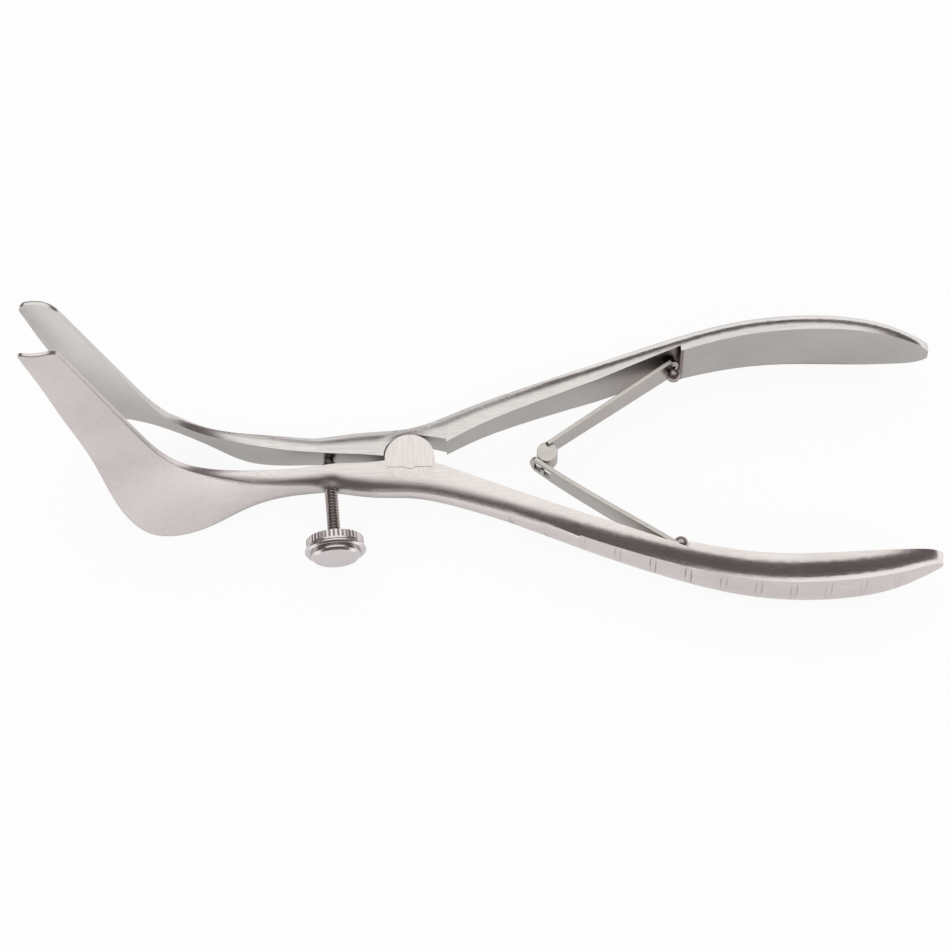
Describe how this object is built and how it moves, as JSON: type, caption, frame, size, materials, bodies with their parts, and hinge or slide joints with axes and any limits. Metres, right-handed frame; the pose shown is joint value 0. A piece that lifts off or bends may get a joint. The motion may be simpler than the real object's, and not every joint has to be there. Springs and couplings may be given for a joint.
{
  "type": "bivalve speculum",
  "caption": "Nasal speculum: a pair of sprung handles squeezed together spreads thin rounded blades on a lap joint, with a set screw that holds them apart.",
  "frame": {"origin": "centre of the pivot on the underside of the lap joint", "axes": "+X along the instrument towards the handles' ends, +Y across it towards the branch without the set screw, +Z along the pivot, the way the blades stand up"},
  "size_m": [0.1387, 0.0464, 0.057],
  "materials": {
    "branch_steel": "satin ground and brushed stainless steel",
    "spring_steel": "matt brushed spring steel",
    "screw_steel": "turned steel",
    "knob_steel": "turned and knurled steel"
  },
  "bodies": {
    "lower": {"lower_branch": "branch_steel", "pivot_pin": "branch_steel", "lower_spring_screw": "screw_steel"},
    "upper": {"upper_branch": "branch_steel", "upper_spring_screw": "screw_steel"},
    "upper_leaf": {"upper_spring": "spring_steel"},
    "lower_leaf": {"lower_spring": "spring_steel"},
    "screw_stem": {"set_screw_shaft": "screw_steel"},
    "screw_knob": {"set_screw_knob": "knob_steel"}
  },
  "joints": [
    {"name": "branch_pivot", "type": "hinge", "parent": "lower", "child": "upper", "pos_m": [0, 0, 0], "axis": [0, 0, -1], "range_deg": [0, 18], "stiffness_Nm_per_rad": 0.6, "springref_deg": -11.46},
    {"name": "upper_spring_flex", "type": "hinge", "parent": "upper", "child": "upper_leaf", "pos_m": [0.04163, 0.01578, 0], "axis": [0, 0, -1], "range_deg": [0, 8.55]},
    {"name": "lower_spring_flex", "type": "hinge", "parent": "lower", "child": "lower_leaf", "pos_m": [0.04165, -0.0157, 0], "axis": [0, 0, 1], "range_deg": [0, 8.55]},
    {"name": "set_screw_travel", "type": "slide", "parent": "lower", "child": "screw_stem", "axis": [0.0645, -0.9979, 0], "range_m": [0, 0.0017]},
    {"name": "set_screw_turn", "type": "hinge", "parent": "screw_stem", "child": "screw_knob", "pos_m": [-0.01265, -0.00107, 0.0026], "axis": [0.0645, -0.9979, 0], "range_deg": [0, 1225]}
  ],
  "couplings": [
    {"joint": "upper_spring_flex", "follows": "branch_pivot", "ratio": 0.475},
    {"joint": "lower_spring_flex", "follows": "branch_pivot", "ratio": 0.475},
    {"joint": "set_screw_turn", "follows": "set_screw_travel", "rad_per_m": 12566}
  ]
}
